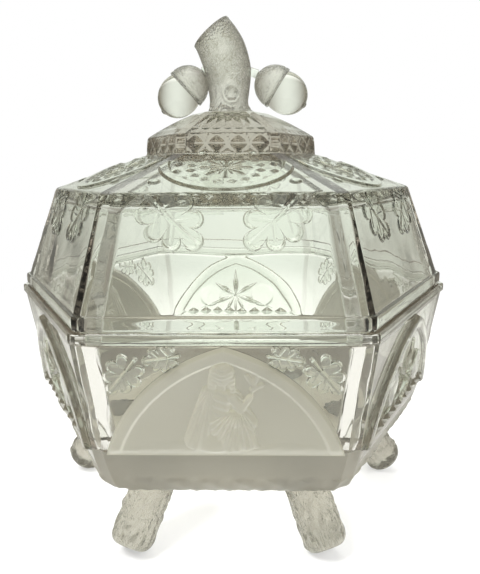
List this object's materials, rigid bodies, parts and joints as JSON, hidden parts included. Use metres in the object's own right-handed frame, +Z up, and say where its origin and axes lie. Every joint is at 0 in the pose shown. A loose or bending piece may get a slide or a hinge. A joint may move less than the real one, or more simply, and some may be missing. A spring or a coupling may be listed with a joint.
{
  "type": "covered butter dish",
  "caption": "Hexagonal pressed-glass butter dish on splayed log feet, with a lift-off domed cover and a branch-and-acorn knob.",
  "frame": {"origin": "on the table plane, under the middle of the dish", "axes": "+Z up along the cover's lift direction; +X towards a corner of the hexagon, the dish's right seen from the front; -Y is the front, a frosted panel"},
  "size_m": [0.1712, 0.1516, 0.1826],
  "materials": {
    "clear_glass": "clear fire-polished pressed glass",
    "frosted_glass": "acid-frosted pressed glass",
    "stippled_glass": "clear glass with a stippled mould surface"
  },
  "bodies": {
    "base": {"bowl": "clear_glass", "foot_right": "frosted_glass", "foot_back_right": "frosted_glass", "foot_back_left": "frosted_glass", "foot_left": "frosted_glass", "foot_front_left": "frosted_glass", "foot_front_right": "frosted_glass", "frosted_arch_front": "frosted_glass", "frosted_arch_back_right": "frosted_glass", "frosted_arch_back_left": "frosted_glass", "star_arch_back": "clear_glass", "star_arch_front_left": "clear_glass", "star_arch_front_right": "clear_glass"},
    "cover": {"cover_shell": "clear_glass", "crown": "clear_glass", "branch": "stippled_glass", "acorn_cup_left": "stippled_glass", "acorn_nut_left": "clear_glass", "acorn_cup_right": "stippled_glass", "acorn_nut_right": "clear_glass"}
  },
  "joints": [
    {"name": "cover_lift", "type": "slide", "parent": "base", "child": "cover", "axis": [0, 0, 1], "range_m": [0, 0.12]}
  ]
}
